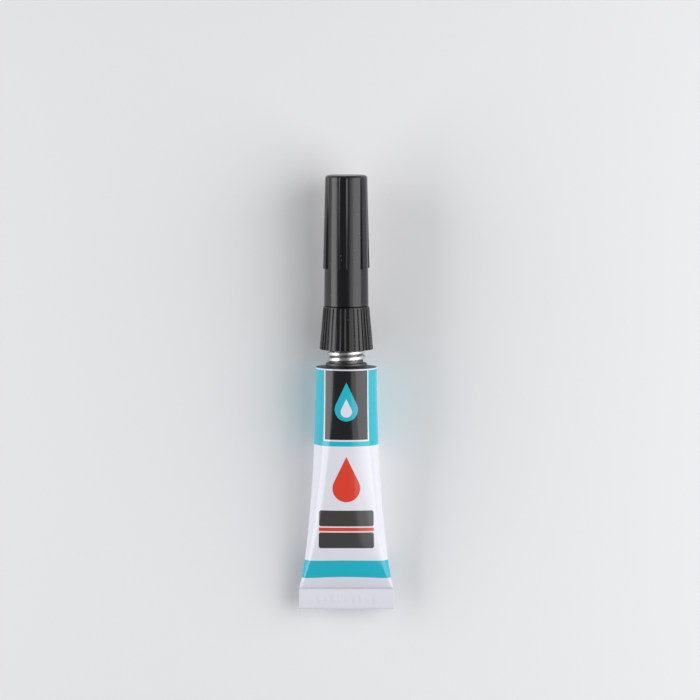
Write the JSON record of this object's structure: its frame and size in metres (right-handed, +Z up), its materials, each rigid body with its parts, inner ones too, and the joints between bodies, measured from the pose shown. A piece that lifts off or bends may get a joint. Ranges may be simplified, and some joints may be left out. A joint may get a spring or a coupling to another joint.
{
  "type": "super glue tube",
  "caption": "Small metal tube of liquid glue with a folded end, a ribbed collar nozzle that screws down to pierce the neck, and a long ribbed cap with a needle inside.",
  "frame": {"origin": "centre of the lying tube's box, on the surface that its belly rests on", "axes": "+Y from the fold towards the cap, +Z up through the printed front, +X to the right of the upright tube"},
  "size_m": [0.021, 0.0966, 0.0142],
  "materials": {
    "printed_enamel": "gloss",
    "bare_aluminium": "satin",
    "latex": "matte",
    "glue": "gloss",
    "black_plastic": "gloss",
    "needle_steel": "satin"
  },
  "bodies": {
    "tube": {"tube_sleeve": "printed_enamel", "tube_neck": "bare_aluminium", "end_seal": "latex", "glue_fill": "glue"},
    "membrane": {"neck_membrane": "bare_aluminium"},
    "nozzle": {"nozzle": "black_plastic"},
    "needle": {"cap_needle": "needle_steel"},
    "cap": {"cap": "black_plastic"}
  },
  "joints": [
    {"name": "nozzle_advance", "type": "slide", "parent": "tube", "child": "membrane", "axis": [0, 0.9981, 0.0624], "range_m": [-0.0034, 0]},
    {"name": "nozzle_turn", "type": "hinge", "parent": "membrane", "child": "nozzle", "pos_m": [0, 0.00524, 0.00674], "axis": [0, 0.9981, 0.0624], "range_deg": [-942, 0]},
    {"name": "cap_pull", "type": "slide", "parent": "nozzle", "child": "needle", "axis": [0, 0.9981, 0.0624], "range_m": [0, 0.032]},
    {"name": "cap_turn", "type": "hinge", "parent": "needle", "child": "cap", "pos_m": [0, 0.00524, 0.00674], "axis": [0, 0.9981, 0.0624], "continuous": true}
  ],
  "couplings": [
    {"joint": "nozzle_turn", "follows": "nozzle_advance", "rad_per_m": 4833.2}
  ]
}
